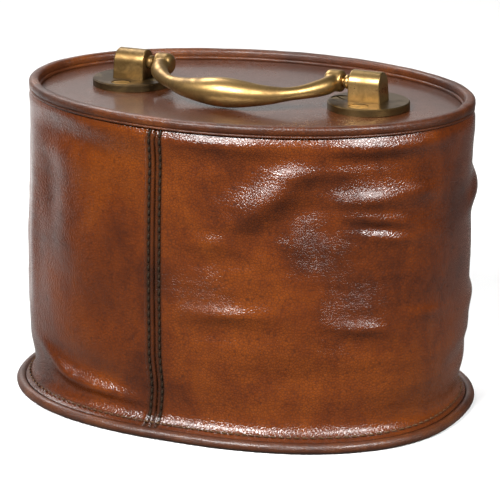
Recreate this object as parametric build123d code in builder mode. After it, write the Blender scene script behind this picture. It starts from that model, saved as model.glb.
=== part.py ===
"""Weighted leather doorstop: an oval leather drum with a corded rim and a stitched foot welt.

A brass swan-neck handle drops between two posts on the recessed top. Millimetres, +Z up,
X along the long axis, -Y to the seam side, origin at the middle of the underside.
"""

from build123d import *
import os
from math import atan2, cos, degrees, radians, sin

# Driving dimensions
WALL = (97.6, 68.2, 58.0)  # half length, half depth and end radius of the wall's outline
FOOT = (102.8, 75.5, 70.0)  # the same for the outside of the foot welt
LEATHER = 2.0  # wall leather
RIM_TOP = 138.0
RIM_BASE = 133.6  # underside of the rim roll, where the wall leather ends
PANEL_TOP = 133.2  # leather surface that the brass stands on
FIT = 0.05  # gap between parallel curved layers

# Foot
FOOT_COVER = 1.6  # leather under the whole foot
WELT_RADIUS = 2.5
CORD_RADIUS = 1.3
WELT_TAIL = 1.0  # both layers of the welt's tail
SLIT = 0.12  # between the two layers of a folded strip
FLANGE_TOP = 4.4  # top of the turned-out hem that is stitched to the welt
FOOT_SEAM = 9.0  # how far the welt tail reaches in past the roll
HEM_GROOVE = 5.05  # from the outside of the welt to the edge of the hem
FOOT_BOARD = 6.0

# Rim
RIM_OUT = 2.4  # how far the roll stands out from the wall
RIM_IN = 2.4  # how far it reaches in
RIM_ROUND = 1.9
RIM_CORD_RADIUS = 1.0
RIM_CORD_Z = 135.8
RIM_TAIL = 1.2
RIM_TAIL_LOW = 121.0

# Inside
PANEL_LEATHER = 1.8
PANEL_FELT = 1.6
TOP_BOARD = 12.0
BACKING = 1.1  # tape glued behind the wall's seam
BACKING_WIDTH = 20.0
BACKING_ENDS = 6.0  # short of the wall at each end
WADDING = 2.5
CANVAS = 1.0
SAND_HEIGHT = 62.0
BAG_MOUTH_RADIUS = 12.0
SEAM_X = -11.0
SEAM_GAP = 0.5

# Brass
ROSE_X = 55.3
ROSE_RADIUS = 17.5
ROSE_HEIGHT = 3.1
ROSE_EDGE = 0.5
POST_INNER_X = 47.8
POST_LENGTH = 14.7
POST_DEPTH = 11.0
POST_DRAFT = 0.9  # how far the outer end leans in at the top
POST_EDGE = 0.6
TENON_RADIUS = 4.0
PIVOT_Z = 143.4
PIN_RADIUS = 2.1
PIN_PLAY = 0.06
PIN_DEPTH_IN_POST = 9.0
COLLAR_RADIUS = 3.1
COLLAR_NECK_RADIUS = 2.4
COLLAR_LENGTH = 3.2
BOSS_RADIUS = 4.7
BOSS_OUTER_X = 43.9
BOSS_LENGTH = 8.2
BOSS_EDGE = 0.7
BORE_DEPTH = 6.0
PIN_END_GAP = 0.8
HANDLE_DROP = 8.0  # degrees that the resting handle slopes down to the front
# half of the handle's centre line: distance from the middle, reach from the pivot, radius
HANDLE_STATIONS = [
    (39.8, 2.6, 3.4),
    (39.6, 5.0, 3.7),
    (38.4, 8.4, 3.7),
    (36.0, 12.0, 3.45),
    (31.9, 16.6, 3.0),
    (27.0, 20.3, 2.95),
    (21.0, 23.3, 3.8),
    (14.0, 24.9, 4.85),
    (0.0, 25.4, 6.35),
]

# Wood screws in each rose
SCREW_REACH = 11.6  # front and back screws, from the rose's middle
SCREW_INNER_REACH = 12.4  # the screw under the handle's end
SCREW_HEAD_RADIUS = 4.3
SCREW_SHANK_RADIUS = 1.7
SCREW_LENGTH = 16.0
SCREW_SUNK = 0.35
SINK_ANGLE = 90
SLOT_TURNS = (24, 71, 140)  # how each slot happens to stand, in degrees
SLOT_WIDTH = 0.9
SLOT_DEPTH = 0.9

ROSE_TOP = PANEL_TOP + ROSE_HEIGHT
POST_TOP = PIVOT_Z + POST_DEPTH / 2
FOOT_BOARD_BASE = FOOT_COVER + WELT_TAIL
FOOT_BOARD_TOP = FOOT_BOARD_BASE + FOOT_BOARD
TOP_BOARD_TOP = PANEL_TOP - PANEL_LEATHER - PANEL_FELT
TOP_BOARD_BASE = TOP_BOARD_TOP - TOP_BOARD
RIM_TAIL_OUT = -LEATHER - FIT
RIM_TAIL_IN = RIM_TAIL_OUT - RIM_TAIL
INSIDE = RIM_TAIL_IN - FIT  # outline of the boards and the packing, measured from the wall
BAG_OUTLINE = INSIDE - WADDING - FIT


def oval_arcs(oval, grow=0.0):
    """Four tangent arcs in the open BuildLine, starting at the +X end, grown outwards."""
    half_length, half_depth, end_radius = oval
    end_x = half_length - end_radius
    side_radius = (end_x**2 + half_depth**2 - end_radius**2) / (2 * (half_depth - end_radius))
    side_y = side_radius - half_depth
    turn = degrees(atan2(side_y, end_x))
    CenterArc((end_x, 0), end_radius + grow, 0, turn)
    CenterArc((0, -side_y), side_radius + grow, turn, 180 - 2 * turn)
    CenterArc((-end_x, 0), end_radius + grow, 180 - turn, 2 * turn)
    CenterArc((0, side_y), side_radius + grow, 180 + turn, 180 - 2 * turn)
    CenterArc((end_x, 0), end_radius + grow, -turn, turn)


class Oval(BaseSketchObject):
    """A filled oval, grown outwards by a distance."""

    def __init__(self, oval, grow=0.0, mode=Mode.ADD):
        with BuildSketch() as outline:
            with BuildLine():
                oval_arcs(oval, grow)
            make_face()
        super().__init__(obj=outline.sketch, rotation=0, align=None, mode=mode)


def level(height):
    """The horizontal plane at a height."""
    return Plane.XY.offset(height)


def save(piece, label):
    piece.label = label
    export_step(piece, f"parts/{label}.step")


os.makedirs("parts", exist_ok=True)

# ---------------------------------------------------------------- foot

welt_path_grow = -WELT_RADIUS
welt_start = Plane(origin=(FOOT[0] + welt_path_grow, 0, WELT_RADIUS), z_dir=(0, 1, 0))
tail_inner = -2 * WELT_RADIUS - FOOT_SEAM
tail_middle = FOOT_COVER + (WELT_TAIL - SLIT) / 2

with BuildPart() as base_cover:
    with BuildSketch(level(0)):
        Oval(FOOT, -2 * WELT_RADIUS - FIT)
    extrude(amount=FOOT_COVER)
save(base_cover.part, "base_cover")

with BuildPart() as base_welt:
    with BuildLine(level(WELT_RADIUS)) as welt_path:
        oval_arcs(FOOT, welt_path_grow)
    with BuildSketch(welt_start):
        Circle(WELT_RADIUS)
    sweep(path=welt_path.wires()[0])
    with BuildSketch(level(FOOT_COVER)):
        Oval(FOOT, welt_path_grow)
        Oval(FOOT, tail_inner, mode=Mode.SUBTRACT)
    extrude(amount=WELT_TAIL)
    with BuildSketch(welt_start):
        Circle(CORD_RADIUS)
    sweep(path=welt_path.wires()[0], mode=Mode.SUBTRACT)
    with BuildSketch(level(tail_middle)):
        Oval(FOOT, welt_path_grow)
        Oval(FOOT, tail_inner, mode=Mode.SUBTRACT)
    extrude(amount=SLIT, mode=Mode.SUBTRACT)
save(base_welt.part, "base_welt")

with BuildPart() as base_cord:
    with BuildLine(level(WELT_RADIUS)) as cord_path:
        oval_arcs(FOOT, welt_path_grow)
    with BuildSketch(welt_start):
        Circle(CORD_RADIUS - FIT)
    sweep(path=cord_path.wires()[0])
save(base_cord.part, "base_cord")

with BuildPart() as base_board:
    with BuildSketch(level(FOOT_BOARD_BASE)):
        Oval(WALL, -LEATHER - FIT)
    extrude(amount=FOOT_BOARD)
save(base_board.part, "base_board")

# ---------------------------------------------------------------- wall

with BuildPart() as side_cover:
    with BuildSketch(level(FOOT_BOARD_BASE)):
        Oval(WALL)
        Oval(WALL, -LEATHER, mode=Mode.SUBTRACT)
    extrude(amount=RIM_BASE - FOOT_BOARD_BASE)
    with BuildSketch(level(FOOT_BOARD_BASE)):
        Oval(FOOT, -HEM_GROOVE)
        Oval(WALL, -LEATHER, mode=Mode.SUBTRACT)
    extrude(amount=FLANGE_TOP - FOOT_BOARD_BASE)
    with BuildSketch(level(FOOT_BOARD_BASE)):
        with Locations((SEAM_X, -FOOT[1])):
            Rectangle(SEAM_GAP, 2 * (FOOT[1] - WALL[1] + 2 * LEATHER))
    extrude(amount=RIM_BASE - FOOT_BOARD_BASE, mode=Mode.SUBTRACT)
save(side_cover.part, "side_cover")

with BuildPart() as seam_backing:
    with BuildSketch(level(FOOT_BOARD_TOP + BACKING_ENDS)):
        Oval(WALL, -LEATHER - FIT)
        Oval(WALL, -LEATHER - FIT - BACKING, mode=Mode.SUBTRACT)
        with Locations((SEAM_X, -WALL[1])):
            Rectangle(BACKING_WIDTH, WALL[1], mode=Mode.INTERSECT)
    extrude(amount=RIM_TAIL_LOW - BACKING_ENDS - FOOT_BOARD_TOP - BACKING_ENDS)
save(seam_backing.part, "seam_backing")

# ---------------------------------------------------------------- packing

with BuildPart() as side_wadding:
    with BuildSketch(level(FOOT_BOARD_TOP)):
        Oval(WALL, INSIDE)
        Oval(WALL, INSIDE - WADDING, mode=Mode.SUBTRACT)
    extrude(amount=TOP_BOARD_BASE - FOOT_BOARD_TOP)
save(side_wadding.part, "side_wadding")

with BuildPart() as sand_bag:
    with BuildSketch(level(FOOT_BOARD_TOP)):
        Oval(WALL, BAG_OUTLINE)
    extrude(amount=SAND_HEIGHT + 2 * CANVAS)
    with BuildSketch(level(FOOT_BOARD_TOP + CANVAS)):
        Oval(WALL, BAG_OUTLINE - CANVAS)
    extrude(amount=SAND_HEIGHT, mode=Mode.SUBTRACT)
    with BuildSketch(level(FOOT_BOARD_TOP + CANVAS + SAND_HEIGHT)):
        Circle(BAG_MOUTH_RADIUS)
    extrude(amount=CANVAS, mode=Mode.SUBTRACT)
save(sand_bag.part, "sand_bag")

with BuildPart() as sand_fill:
    with BuildSketch(level(FOOT_BOARD_TOP + CANVAS)):
        Oval(WALL, BAG_OUTLINE - CANVAS - FIT)
    extrude(amount=SAND_HEIGHT)
save(sand_fill.part, "sand_fill")

with BuildPart() as top_packing:
    with BuildSketch(level(FOOT_BOARD_TOP + SAND_HEIGHT + 2 * CANVAS)):
        Oval(WALL, BAG_OUTLINE)
    extrude(amount=TOP_BOARD_BASE - FOOT_BOARD_TOP - SAND_HEIGHT - 2 * CANVAS)
save(top_packing.part, "top_packing")

# ---------------------------------------------------------------- top

screw_holes = [
    (side * ROSE_X + dx, dy)
    for side in (-1, 1)
    for dx, dy in ((0, -SCREW_REACH), (0, SCREW_REACH), (-side * SCREW_INNER_REACH, 0))
]

with BuildPart() as top_board:
    with BuildSketch(level(TOP_BOARD_BASE)):
        Oval(WALL, INSIDE)
    extrude(amount=TOP_BOARD)
    with BuildSketch(level(TOP_BOARD_TOP)):
        with Locations(*screw_holes):
            Circle(SCREW_SHANK_RADIUS)
    extrude(amount=-(SCREW_LENGTH - ROSE_TOP + TOP_BOARD_TOP), mode=Mode.SUBTRACT)
save(top_board.part, "top_board")

with BuildPart() as top_felt:
    with BuildSketch(level(TOP_BOARD_TOP)):
        Oval(WALL, INSIDE)
        with Locations(*screw_holes):
            Circle(SCREW_SHANK_RADIUS, mode=Mode.SUBTRACT)
    extrude(amount=PANEL_FELT)
save(top_felt.part, "top_felt")

with BuildPart() as top_cover:
    with BuildSketch(level(PANEL_TOP - PANEL_LEATHER)):
        Oval(WALL, INSIDE)
        with Locations(*screw_holes):
            Circle(SCREW_SHANK_RADIUS, mode=Mode.SUBTRACT)
    extrude(amount=PANEL_LEATHER)
save(top_cover.part, "top_cover")

# ---------------------------------------------------------------- rim

rim_middle = (RIM_OUT - RIM_IN) / 2
rim_start = Plane(origin=(WALL[0] + rim_middle, 0, RIM_CORD_Z), z_dir=(0, 1, 0))

with BuildPart() as rim_binding:
    with BuildSketch(level(RIM_BASE)):
        Oval(WALL, RIM_OUT)
        Oval(WALL, -RIM_IN, mode=Mode.SUBTRACT)
    extrude(amount=RIM_TOP - RIM_BASE)
    fillet(rim_binding.edges().group_by(Axis.Z)[-1], radius=RIM_ROUND)
    with BuildSketch(level(RIM_TAIL_LOW)):
        Oval(WALL, RIM_TAIL_OUT)
        Oval(WALL, RIM_TAIL_IN, mode=Mode.SUBTRACT)
    extrude(amount=RIM_CORD_Z - RIM_TAIL_LOW)
    with BuildLine(level(RIM_CORD_Z)) as rim_path:
        oval_arcs(WALL, rim_middle)
    with BuildSketch(rim_start):
        Circle(RIM_CORD_RADIUS)
    sweep(path=rim_path.wires()[0], mode=Mode.SUBTRACT)
    with BuildSketch(level(RIM_BASE)):
        Oval(WALL, rim_middle + SLIT / 2)
        Oval(WALL, rim_middle - SLIT / 2, mode=Mode.SUBTRACT)
    extrude(amount=RIM_CORD_Z - RIM_BASE, mode=Mode.SUBTRACT)
save(rim_binding.part, "rim_binding")

with BuildPart() as rim_cord:
    with BuildLine(level(RIM_CORD_Z)) as rim_cord_path:
        oval_arcs(WALL, rim_middle)
    with BuildSketch(rim_start):
        Circle(RIM_CORD_RADIUS - FIT)
    sweep(path=rim_cord_path.wires()[0])
save(rim_cord.part, "rim_cord")

# ---------------------------------------------------------------- brass

bail_plane = Plane(
    origin=(0, 0, PIVOT_Z),
    x_dir=(1, 0, 0),
    z_dir=(0, -sin(radians(HANDLE_DROP)), cos(radians(HANDLE_DROP))),
)
half_bail = [(x, -reach, radius) for x, reach, radius in HANDLE_STATIONS]
stations = [(-x, y, radius) for x, y, radius in half_bail[:-1]] + half_bail[::-1]

with BuildPart() as handle:
    with BuildLine(bail_plane) as bail:
        centre_line = Spline(*[(x, y) for x, y, _ in stations])
    for x, y, radius in stations:
        middle = bail_plane.from_local_coords(Vector(x, y, 0))
        along = centre_line.tangent_at(centre_line.param_at_point(middle))
        with BuildSketch(Plane(origin=middle, x_dir=bail_plane.z_dir, z_dir=along)):
            Circle(radius)
    loft()
    with BuildSketch(Plane.XZ) as boss_profile:
        for side in (-1, 1):
            with Locations((side * (BOSS_OUTER_X - BOSS_LENGTH / 2), PIVOT_Z + BOSS_RADIUS / 2)):
                Rectangle(BOSS_LENGTH, BOSS_RADIUS)
        chamfer(boss_profile.vertices().group_by(Axis.Z)[-1], length=BOSS_EDGE)
    revolve(axis=Axis((0, 0, PIVOT_Z), (1, 0, 0)))
    for side in (-1, 1):
        with BuildSketch(Plane(origin=(side * BOSS_OUTER_X, 0, PIVOT_Z), z_dir=(-side, 0, 0))):
            Circle(PIN_RADIUS + PIN_PLAY)
        extrude(amount=BORE_DEPTH, mode=Mode.SUBTRACT)
save(handle.part, "handle")

for side, name in ((-1, "left"), (1, "right")):
    holes = [hole for hole in screw_holes if hole[0] * side > 0]
    inner_x = side * POST_INNER_X
    outer_x = side * (POST_INNER_X + POST_LENGTH)
    across = Plane(origin=(inner_x, 0, PIVOT_Z), x_dir=(0, side, 0), z_dir=(side, 0, 0))
    pin_plane = Plane(origin=(inner_x, 0, PIVOT_Z), x_dir=(-side, 0, 0), z_dir=(0, -side, 0))

    with BuildPart() as rose:
        with BuildSketch(level(PANEL_TOP)):
            with Locations((side * ROSE_X, 0)):
                Circle(ROSE_RADIUS)
        extrude(amount=ROSE_HEIGHT)
        chamfer(rose.edges().group_by(Axis.Z)[-1], length=ROSE_EDGE)
        with Locations(*[(x, y, ROSE_TOP) for x, y in holes]):
            CounterSinkHole(SCREW_SHANK_RADIUS, SCREW_HEAD_RADIUS, ROSE_HEIGHT, SINK_ANGLE)
        with BuildSketch(level(PANEL_TOP)):
            with Locations((side * ROSE_X, 0)):
                Circle(TENON_RADIUS)
        extrude(amount=ROSE_HEIGHT, mode=Mode.SUBTRACT)
    save(rose.part, f"rose_{name}")

    with BuildPart() as post:
        with BuildSketch(across):
            with BuildLine():
                Line((-POST_DEPTH / 2, ROSE_TOP - PIVOT_Z), (-POST_DEPTH / 2, 0))
                ThreePointArc((-POST_DEPTH / 2, 0), (0, POST_DEPTH / 2), (POST_DEPTH / 2, 0))
                Line((POST_DEPTH / 2, 0), (POST_DEPTH / 2, ROSE_TOP - PIVOT_Z))
                Line((POST_DEPTH / 2, ROSE_TOP - PIVOT_Z), (-POST_DEPTH / 2, ROSE_TOP - PIVOT_Z))
            make_face()
        extrude(amount=POST_LENGTH)
        with BuildSketch(Plane.XZ):
            with BuildLine():
                Polyline(
                    (outer_x, ROSE_TOP),
                    (outer_x, POST_TOP),
                    (outer_x - side * POST_DRAFT, POST_TOP),
                    close=True,
                )
            make_face()
        extrude(amount=POST_DEPTH, both=True, mode=Mode.SUBTRACT)
        end_faces = post.faces().sort_by(Axis.X)
        ends = end_faces[0].edges() + end_faces[-1].edges()
        fillet([e for e in ends if e.center().Z > ROSE_TOP + FIT], radius=POST_EDGE)
        with BuildSketch(level(PANEL_TOP)):
            with Locations((side * ROSE_X, 0)):
                Circle(TENON_RADIUS)
        extrude(amount=ROSE_HEIGHT)
        with BuildSketch(across):
            Circle(PIN_RADIUS)
        extrude(amount=PIN_DEPTH_IN_POST, mode=Mode.SUBTRACT)
    save(post.part, f"post_{name}")

    pin_end = POST_INNER_X - BOSS_OUTER_X + BORE_DEPTH - PIN_END_GAP
    with BuildPart() as pin:
        with BuildSketch(pin_plane):
            with BuildLine():
                Polyline(
                    (COLLAR_LENGTH, COLLAR_NECK_RADIUS),
                    (COLLAR_LENGTH, PIN_RADIUS),
                    (pin_end, PIN_RADIUS),
                    (pin_end, 0),
                    (-PIN_DEPTH_IN_POST, 0),
                    (-PIN_DEPTH_IN_POST, PIN_RADIUS),
                    (0, PIN_RADIUS),
                    (0, COLLAR_NECK_RADIUS),
                )
                ThreePointArc(
                    (0, COLLAR_NECK_RADIUS),
                    (COLLAR_LENGTH / 2, COLLAR_RADIUS),
                    (COLLAR_LENGTH, COLLAR_NECK_RADIUS),
                )
            make_face()
        revolve(axis=Axis((0, 0, PIVOT_Z), (1, 0, 0)))
    save(pin.part, f"pivot_pin_{name}")

    with BuildPart() as screws:
        with BuildSketch(level(ROSE_TOP - SCREW_SUNK)):
            with Locations(*holes):
                Circle(SCREW_HEAD_RADIUS - SCREW_SUNK)
        extrude(amount=-(SCREW_HEAD_RADIUS - SCREW_SUNK - SCREW_SHANK_RADIUS + FIT), taper=45)
        with BuildSketch(level(ROSE_TOP - SCREW_SUNK)):
            with Locations(*holes):
                Circle(SCREW_SHANK_RADIUS - FIT)
        extrude(amount=-(SCREW_LENGTH - SCREW_SUNK))
        with BuildSketch(level(ROSE_TOP - SCREW_SUNK)):
            with Locations(*[Location((x, y), turn) for (x, y), turn in zip(holes, SLOT_TURNS)]):
                Rectangle(2 * SCREW_HEAD_RADIUS, SLOT_WIDTH)
        extrude(amount=-SLOT_DEPTH, mode=Mode.SUBTRACT)
    save(screws.part, f"rose_screws_{name}")
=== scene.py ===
"""Weighted leather doorstop: the leather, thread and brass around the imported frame.

Metres, +Z up, X along the long axis, the wall's seam on the -Y side. The helpers take
millimetres, as a maker's drawing does, and turn them into metres when a mesh is laid.
"""

import math

import bmesh
import bpy
import numpy as np
from mathutils import Matrix, Vector, noise


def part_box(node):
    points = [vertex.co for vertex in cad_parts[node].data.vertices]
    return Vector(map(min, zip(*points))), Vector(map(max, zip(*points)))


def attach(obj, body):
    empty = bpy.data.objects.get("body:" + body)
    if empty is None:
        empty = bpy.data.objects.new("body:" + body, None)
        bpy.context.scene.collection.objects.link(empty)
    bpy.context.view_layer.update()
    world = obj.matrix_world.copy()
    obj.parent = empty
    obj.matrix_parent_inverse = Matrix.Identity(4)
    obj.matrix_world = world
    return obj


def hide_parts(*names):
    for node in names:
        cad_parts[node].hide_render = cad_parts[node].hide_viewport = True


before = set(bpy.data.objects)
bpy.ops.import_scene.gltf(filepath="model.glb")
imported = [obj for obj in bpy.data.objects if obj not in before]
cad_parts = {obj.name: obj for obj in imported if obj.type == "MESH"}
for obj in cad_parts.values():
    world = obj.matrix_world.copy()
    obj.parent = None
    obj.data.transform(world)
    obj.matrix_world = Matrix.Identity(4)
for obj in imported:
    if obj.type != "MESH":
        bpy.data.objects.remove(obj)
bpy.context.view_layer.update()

MM = 0.001


def node_size(node):
    """Lowest and highest corner of a frame node, in millimetres."""
    low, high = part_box(node)
    return np.array(low) / MM, np.array(high) / MM


# ---------------------------------------------------------------- sizes, in millimetres

rim_high = node_size("rim_binding")[1]
welt_high = node_size("base_welt")[1]
panel_high = node_size("top_cover")[1]
cover_high = node_size("base_cover")[1]
board_low, board_high = node_size("base_board")
wadding_high = node_size("side_wadding")[1]
rose_high = node_size("rose_right")[1]
pin_low, pin_high = node_size("pivot_pin_right")

RIM_TOP = rim_high[2]
RIM_LENGTH = rim_high[0]
RIM_DEPTH = rim_high[1]
RIM_WIDTH = 4.8
RIM_HEIGHT = 4.4
RIM_BASE = RIM_TOP - RIM_HEIGHT
PANEL_TOP = panel_high[2]
PANEL_THICKNESS = 1.8
WELT_RADIUS = 2.3
FOOT_LENGTH = welt_high[0]
FOOT_DEPTH = welt_high[1] + 1.2  # the worn foot is spread a little to the front and back
FOOT_POWER = 2.34  # squareness of the foot's outline
HEM_HEIGHT = 4.1
HEM_INSET = 4.1  # from the outside of the welt to the edge of the hem
HEM_LENGTH = FOOT_LENGTH - HEM_INSET
HEM_DEPTH = FOOT_DEPTH - HEM_INSET
FLARE_HEIGHT = 3.0  # how fast the wall turns out towards the hem
WALL_THICKNESS = 1.4
ROSE_TOP = rose_high[2]

LEAN = -2.4  # the foot stands this far to the left of the rim
PIVOT_Z = (pin_low[2] + pin_high[2]) / 2
BOSS_ROUND_FROM = 38.4  # the handle's bosses round over from here towards the middle
SEAM_X = -11.0
SEAM_ROW = 2.5  # each row of stitches, from the middle of the seam
STITCH_PITCH = 3.4

# height, half length, half depth, squareness of the wall's outline
WALL_STATIONS = [
    (4.4, 94.9, 67.0, 2.25),
    (10.0, 95.3, 67.2, 2.25),
    (16.0, 96.8, 67.9, 2.2),
    (24.0, 98.7, 68.7, 2.18),
    (36.0, 100.0, 69.3, 2.15),
    (60.0, 99.8, 69.3, 2.12),
    (95.0, 99.6, 69.2, 2.06),
    (117.0, 99.6, 69.3, 2.02),
    (127.0, 100.1, 70.0, 2.0),
    (130.4, 100.0, 70.0, 2.0),
    (133.9, 98.7, 68.7, 2.0),
]

# along the wall from its seam, height, half length, half breadth, slant in degrees, rise
SWELLS = [
    (24, 128.8, 24, 2.2, 0, 0.8),
    (98, 128.0, 22, 2.6, 0, 1.0),
    (34, 121.5, 26, 3.0, 2, -0.4),
    (92, 122.5, 22, 3.0, -2, -0.7),
    (49, 107, 18, 6.0, 40, 2.5),
    (35, 115, 15, 5.0, 40, -0.7),
    (60, 100, 16, 5.0, 36, -0.6),
    (68, 103, 13, 3.5, 5, -0.5),
    (91, 106.5, 15, 3.4, 0, 1.4),
    (84, 114, 18, 4.0, 8, -0.4),
    (112, 108, 9, 3.0, -10, 0.8),
    (95, 98, 15, 2.2, -8, 0.9),
    (97, 94, 14, 2.0, -9, -0.8),
    (99, 90, 12, 2.2, -10, 0.7),
    (24, 86.5, 11, 3.2, 2, 0.6),
    (28, 79, 15, 4.5, 0, -0.3),
    (34, 57, 17, 3.0, 3, 1.0),
    (36, 48, 20, 4.5, 0, -0.5),
    (88, 52, 12, 2.6, -5, 0.9),
    (90, 44, 18, 4.5, -6, -0.4),
    (118, 55, 10, 3.0, -6, 0.7),
    (64, 118, 14, 2.6, 0, 0.6),
    (72, 88, 16, 2.8, -4, 0.4),
    (110, 92, 12, 2.4, -12, 0.6),
    (66, 30, 30, 9.0, 4, -0.9),
    (120, 78, 14, 18.0, 0, 0.5),
    (126, 44, 10, 12.0, 0, -0.4),
    (-24, 108, 12, 10.0, 20, -0.7),
    (-45, 122, 34, 6.0, -3, -1.6),
    (-40, 78, 22, 16.0, 0, 0.9),
    (-62, 96, 8, 22.0, 8, -0.8),
    (-78, 70, 6, 34.0, 3, 0.9),
    (-92, 64, 6, 30.0, 0, -0.9),
    (-106, 70, 7, 34.0, 0, 0.8),
    (-30, 15, 26, 3.0, -4, 1.2),
    (-56, 21, 16, 3.5, -24, 1.1),
    (-34, 23, 24, 5.0, -6, -0.9),
    (-24, 48, 14, 9.0, 10, -0.6),
    (165, 100, 18, 5.0, 20, 1.6),
    (190, 84, 20, 6.0, -12, -1.1),
    (205, 110, 16, 4.5, -25, 1.5),
    (232, 96, 18, 5.0, 10, -1.0),
    (176, 52, 22, 5.0, 4, 1.2),
    (220, 44, 24, 6.0, -6, 1.1),
    (150, 28, 20, 6.0, 8, -0.9),
    (-150, 98, 16, 6.0, -18, 1.4),
    (-190, 60, 22, 6.0, 8, 1.1),
    (-215, 90, 20, 6.0, 24, -1.0),
    (-140, 44, 20, 7.0, -6, -0.9),
    (-175, 118, 22, 4.5, 4, -1.1),
]
LUMP = 0.45  # size of the wall's general unevenness
LUMP_LENGTH = 26.0
SWELL_SIZE = 1.6


# ---------------------------------------------------------------- outlines

def outline_radius(turn, half_length, half_depth, power):
    """Distance from the middle to a rounded outline, in the direction turn (radians)."""
    across = np.abs(np.cos(turn)) / half_length
    deep = np.abs(np.sin(turn)) / half_depth
    return (across**power + deep**power) ** (-1 / power)


def outline_point(turn, half_length, half_depth, power):
    radius = outline_radius(turn, half_length, half_depth, power)
    return radius * np.cos(turn), radius * np.sin(turn)


def outline_normal(turn, half_length, half_depth, power):
    x, y = outline_point(turn, half_length, half_depth, power)
    nx = np.sign(x) * (np.abs(x) / half_length) ** (power - 1) / half_length
    ny = np.sign(y) * (np.abs(y) / half_depth) ** (power - 1) / half_depth
    size = np.hypot(nx, ny)
    return nx / size, ny / size


def lean(height):
    """How far the stuffed body sags sideways at a height; the rim is the fixed end."""
    return LEAN * (1 - np.clip(height / RIM_BASE, 0, 1)) ** 1.2


SEAM_Y = -68.2
WALK_OUTLINE = (98.0, 68.6, 2.1)  # the wall's outline at half height, to measure along
SEAM_TURN = math.atan2(SEAM_Y, SEAM_X)
walk_turn = np.linspace(SEAM_TURN, SEAM_TURN + 2 * math.pi, 4001)
walk_x, walk_y = outline_point(walk_turn, *WALK_OUTLINE)
walk_step = np.hypot(np.diff(walk_x), np.diff(walk_y))
walk_along = np.concatenate([[0.0], np.cumsum(walk_step)])
GIRTH = walk_along[-1]


def turn_at(along):
    """The direction of a place along the wall, measured from its seam towards +X."""
    return np.interp(np.mod(along, GIRTH), walk_along, walk_turn)


def distance_from(along, place=0.0):
    """How far along the wall from a place, the short way round; the seam is place 0."""
    return np.mod(along - place + GIRTH / 2, GIRTH) - GIRTH / 2


# ---------------------------------------------------------------- the wall's shape

def seam_shift(height):
    """How far the seam wanders sideways at a height."""
    return 0.9 * np.exp(-(((height - 22) / 9) ** 2)) + 0.35 * np.sin(height / 21 + 0.6)


def lumps(along, height):
    """The leather's general unevenness, the same on every run."""
    turn = turn_at(along)
    radius = GIRTH / (2 * math.pi) / LUMP_LENGTH
    values = [
        noise.noise(Vector((math.cos(t) * radius, math.sin(t) * radius, h / (LUMP_LENGTH * 0.62))))
        for t, h in zip(np.ravel(turn), np.ravel(height))
    ]
    return LUMP * np.reshape(values, np.shape(height))


def crinkle_patch(along, height):
    """Where the leather wrinkles most, in front to the right of the seam, from 0 to 1."""
    return np.exp(-(((distance_from(along) - 55) / 60) ** 2) - ((height - 85) / 38) ** 2)


def crinkles(along, height):
    """Short crossways wrinkles."""
    turn = turn_at(along)
    values = [
        noise.noise(Vector((math.cos(t) * 9.0, math.sin(t) * 9.0, h / 2.6)))
        for t, h in zip(np.ravel(turn), np.ravel(height))
    ]
    values = np.reshape(values, np.shape(height))
    return values * (0.10 + 0.22 * crinkle_patch(along, height))


def wall_rise(along, height):
    """How far the wall stands out from its plain shape, in millimetres."""
    rise = lumps(along, height) + crinkles(along, height)
    for place, middle, length, breadth, slant, amount in SWELLS:
        sideways = distance_from(along, place)
        upwards = height - middle
        angle = math.radians(slant)
        run = (sideways * math.cos(angle) + upwards * math.sin(angle)) / length
        cross = (upwards * math.cos(angle) - sideways * math.sin(angle)) / breadth
        rise = rise + SWELL_SIZE * amount * np.exp(-(run**2) - cross**2)
    held = np.clip((height - 4.6) / 8, 0, 1) * np.clip((RIM_BASE - height) / 4, 0, 1)
    off_seam = distance_from(along) - seam_shift(height)
    calm = 1 - 0.55 * np.exp(-((off_seam / 9) ** 2))
    rise = rise * held * calm
    return rise + seam_relief(off_seam)


def seam_relief(off_seam):
    """The closed joint, the padded lips beside it and the pulled-in rows of stitches."""
    side = np.abs(off_seam)
    joint = -0.9 * np.exp(-((side / 0.38) ** 2))
    lip = 0.45 * np.exp(-(((side - 1.2) / 0.75) ** 2))
    row = -0.35 * np.exp(-(((side - SEAM_ROW) / 0.55) ** 2))
    outer_lip = 0.5 * np.exp(-(((side - 3.7) / 0.75) ** 2))
    return joint + lip + row + outer_lip


def wall_place(along, height, inset=0.0):
    """A point on the outside of the wall leather, or inset from it, in millimetres."""
    turn = turn_at(along)
    stations = np.array(WALL_STATIONS)
    length, depth, power = [np.interp(height, stations[:, 0], stations[:, i]) for i in (1, 2, 3)]
    wall_x, wall_y = outline_point(turn, length, depth, power)
    hem_x, hem_y = outline_point(turn, HEM_LENGTH, HEM_DEPTH, FOOT_POWER)
    flare = np.exp(-np.maximum(height - HEM_HEIGHT, 0) / FLARE_HEIGHT)
    out_x, out_y = outline_normal(turn, length, depth, power)
    rise = wall_rise(along, height) - inset
    x = wall_x + (hem_x - wall_x) * flare + out_x * rise
    y = wall_y + (hem_y - wall_y) * flare + out_y * rise
    return np.stack([x + lean(height), y, height], axis=-1)


# ---------------------------------------------------------------- mesh helpers

def deselect():
    if bpy.context.mode != "OBJECT":
        bpy.ops.object.mode_set(mode="OBJECT")
    bpy.ops.object.select_all(action="DESELECT")


def take(piece):
    """Makes a piece the only selected and active one."""
    deselect()
    piece.select_set(True)
    bpy.context.view_layer.objects.active = piece
    return piece


def named(name):
    piece = bpy.context.active_object
    piece.name = name
    piece.data.name = name
    return piece


def corners(piece):
    """The piece's vertices as an array, in metres."""
    places = np.zeros(len(piece.data.vertices) * 3)
    piece.data.vertices.foreach_get("co", places)
    return places.reshape(-1, 3)


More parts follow.
